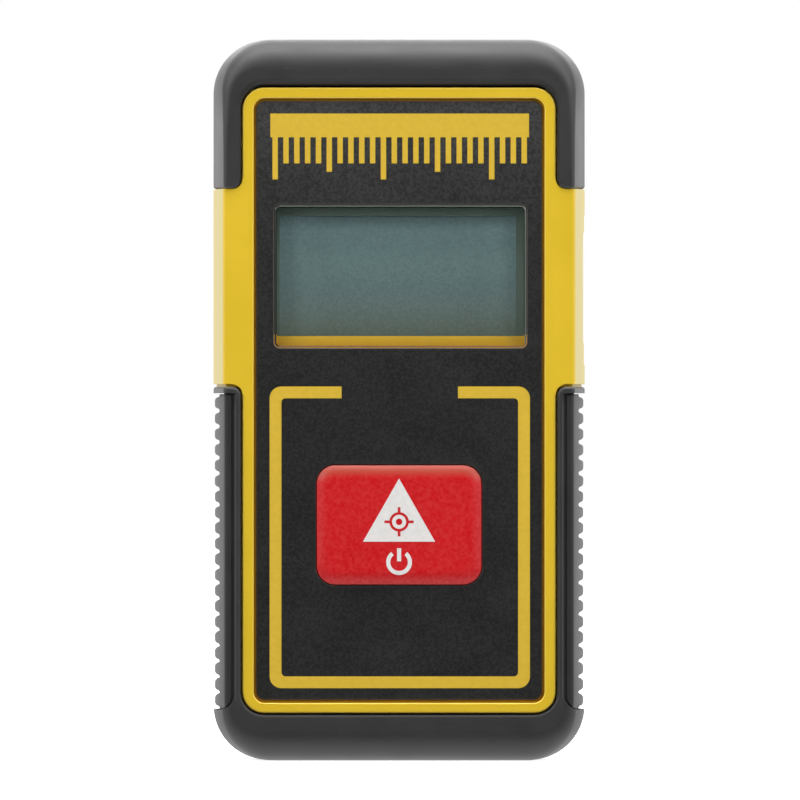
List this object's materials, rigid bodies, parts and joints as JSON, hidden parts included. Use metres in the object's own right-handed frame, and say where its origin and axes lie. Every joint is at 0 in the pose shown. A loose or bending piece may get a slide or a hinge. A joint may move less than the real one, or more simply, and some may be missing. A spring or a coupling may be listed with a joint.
{
  "type": "laser distance meter",
  "caption": "Pocket laser distance meter with a display, one measuring button, rubber bumpers, ribbed side grips, laser optics in its upper end and a flap over its charging socket.",
  "frame": {"origin": "middle of the lower end face, which the meter stands on", "axes": "+Z along the body towards the laser end, +Y out of the label side, so the display and button face -Y; +X is to the right of a person facing the display"},
  "size_m": [0.0412, 0.017, 0.08],
  "materials": {
    "yellow_shell": "fine moulded texture, satin",
    "boot_rubber": "satin overmoulded rubber",
    "grip_rubber": "ribbed satin rubber",
    "panel_black": "orange-peel textured film",
    "label_black": "matt film, blank",
    "window_clear": "polished clear plastic",
    "foam_black": "closed-cell foam",
    "display_grey": "blank reflective display glass",
    "reflector_silver": "satin film",
    "holder_white": "moulded",
    "strip_rubber": "soft contact rubber",
    "button_red": "satin moulded",
    "switch_black": "moulded",
    "plunger_white": "moulded",
    "board_green": "solder mask",
    "chip_black": "moulded epoxy",
    "tinned_steel": "tinned",
    "ceramic_tan": "matt",
    "ceramic_dark": "matt",
    "flap_rubber": "satin soft rubber",
    "pouch_foil": "laminated foil",
    "wire_red": "insulation",
    "wire_black": "insulation",
    "optics_black": "black moulded, low gloss",
    "lens_clear": "polished",
    "barrel_brass": "turned",
    "bezel_black": "satin black",
    "filter_red": "polished red filter",
    "screw_steel": "dark plated"
  },
  "bodies": {
    "housing": {"front_housing": "yellow_shell", "rear_housing": "yellow_shell", "top_bumper": "boot_rubber", "bottom_bumper": "boot_rubber", "left_grip": "grip_rubber", "right_grip": "grip_rubber", "faceplate_overlay": "panel_black", "rear_label": "label_black", "display_window": "window_clear", "display_gasket": "foam_black", "lcd_panel": "display_grey", "lcd_reflector": "reflector_silver", "lcd_holder": "holder_white", "lcd_connector_strip": "strip_rubber", "switch_body": "switch_black", "main_board": "board_green", "microcontroller": "chip_black", "laser_driver_chip": "chip_black", "charge_chip": "chip_black", "clock_crystal": "tinned_steel", "board_capacitors": "ceramic_tan", "board_resistors": "ceramic_dark", "receiver_shield": "tinned_steel", "usb_receptacle": "tinned_steel", "usb_flap_anchor": "flap_rubber", "battery_cell": "pouch_foil", "battery_protection_board": "board_green", "battery_pad": "foam_black", "battery_connector": "holder_white", "battery_lead_positive": "wire_red", "battery_lead_negative": "wire_black", "optics_frame": "optics_black", "receiver_lens": "lens_clear", "lens_ring": "optics_black", "receiver_board": "board_green", "photodiode": "chip_black", "laser_barrel": "barrel_brass", "laser_diode": "tinned_steel", "collimator_lens": "lens_clear", "lens_bezel": "bezel_black", "laser_window": "lens_clear", "receiver_window": "filter_red", "shell_screws": "screw_steel", "board_screws": "screw_steel", "optics_screws": "screw_steel"},
    "button": {"measure_button": "button_red"},
    "plunger": {"switch_plunger": "plunger_white"},
    "socket_flap": {"usb_flap": "flap_rubber"}
  },
  "joints": [
    {"name": "button_press", "type": "slide", "parent": "housing", "child": "button", "axis": [0, 1, 0], "range_m": [0, 0.0005], "stiffness_N_per_m": 2000},
    {"name": "switch_plunger_slide", "type": "slide", "parent": "housing", "child": "plunger", "axis": [0, 1, 0], "range_m": [0, 0.0005]},
    {"name": "usb_flap_hinge", "type": "hinge", "parent": "housing", "child": "socket_flap", "pos_m": [0.0208, 0, 0.0463], "axis": [0, 1, 0], "range_deg": [0, 115]}
  ],
  "couplings": [
    {"joint": "switch_plunger_slide", "follows": "button_press", "ratio": 1}
  ]
}
